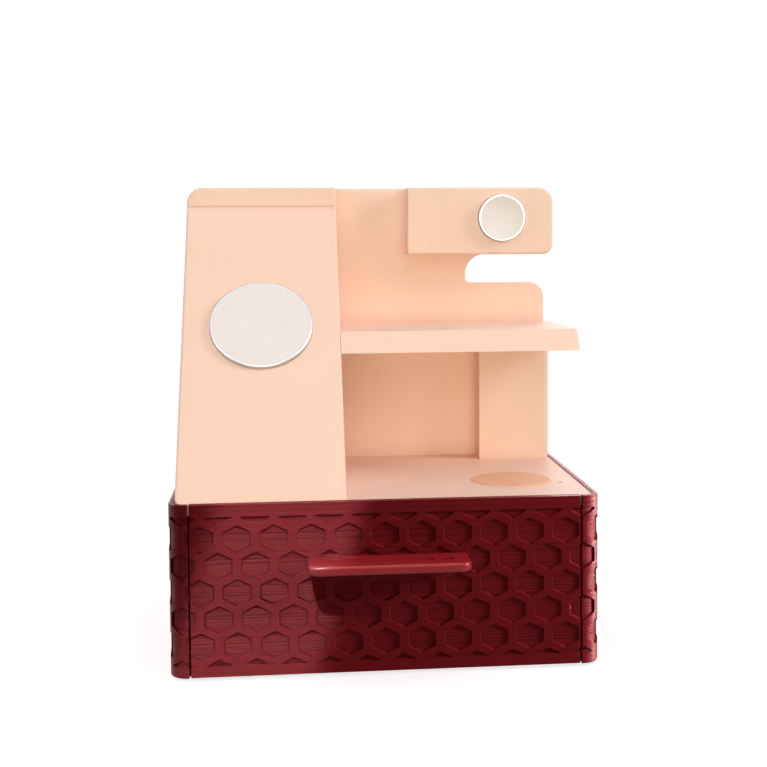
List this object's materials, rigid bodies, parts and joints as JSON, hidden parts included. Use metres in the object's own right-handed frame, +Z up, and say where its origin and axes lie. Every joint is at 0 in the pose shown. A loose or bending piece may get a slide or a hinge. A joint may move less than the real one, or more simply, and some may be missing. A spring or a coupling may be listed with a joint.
{
  "type": "charging station organizer",
  "caption": "Desktop charging station with an inclined phone rest, watch arm, shelf, tablet slot and a honeycomb case with a pull-out drawer.",
  "frame": {"origin": "bottom centre of the whole object's box, on the surface that the feet stand on", "axes": "+Z up along the height, -Y is the front where the drawer opens, +X is the side of the shelf and the watch arm"},
  "size_m": [0.2224, 0.1886, 0.2512],
  "materials": {
    "case_plastic": "satin, layered print",
    "drawer_plastic": "satin, layered print",
    "handle_plastic": "satin, layered print",
    "stand_plastic": "satin, layered print",
    "foot_rubber": "matte",
    "grommet_rubber": "matte",
    "screw_steel": "turned",
    "puck_aluminium": "anodised satin",
    "face_plastic": "satin",
    "pad_plastic": "satin",
    "pad_rubber": "matte",
    "shield_ferrite": "matte",
    "coil_copper": "wound",
    "magnet_steel": "plated"
  },
  "bodies": {
    "station": {"base_case": "case_plastic", "rubber_feet": "foot_rubber", "cable_grommet": "grommet_rubber", "upper_stand": "stand_plastic", "stand_screws": "screw_steel", "phone_charger_shell": "puck_aluminium", "phone_charger_face": "face_plastic", "phone_charger_shield": "shield_ferrite", "phone_charger_coil": "coil_copper", "phone_charger_magnets": "magnet_steel", "watch_charger_shell": "puck_aluminium", "watch_charger_face": "face_plastic", "watch_charger_magnet": "magnet_steel", "watch_charger_coil": "coil_copper", "earbuds_charger_shell": "pad_plastic", "earbuds_charger_face": "pad_rubber", "earbuds_charger_coil": "coil_copper"},
    "drawer": {"drawer": "drawer_plastic", "drawer_handle": "handle_plastic", "handle_screws": "screw_steel"}
  },
  "joints": [
    {"name": "drawer_slide", "type": "slide", "parent": "station", "child": "drawer", "axis": [0, -1, 0], "range_m": [0, 0.1]}
  ]
}
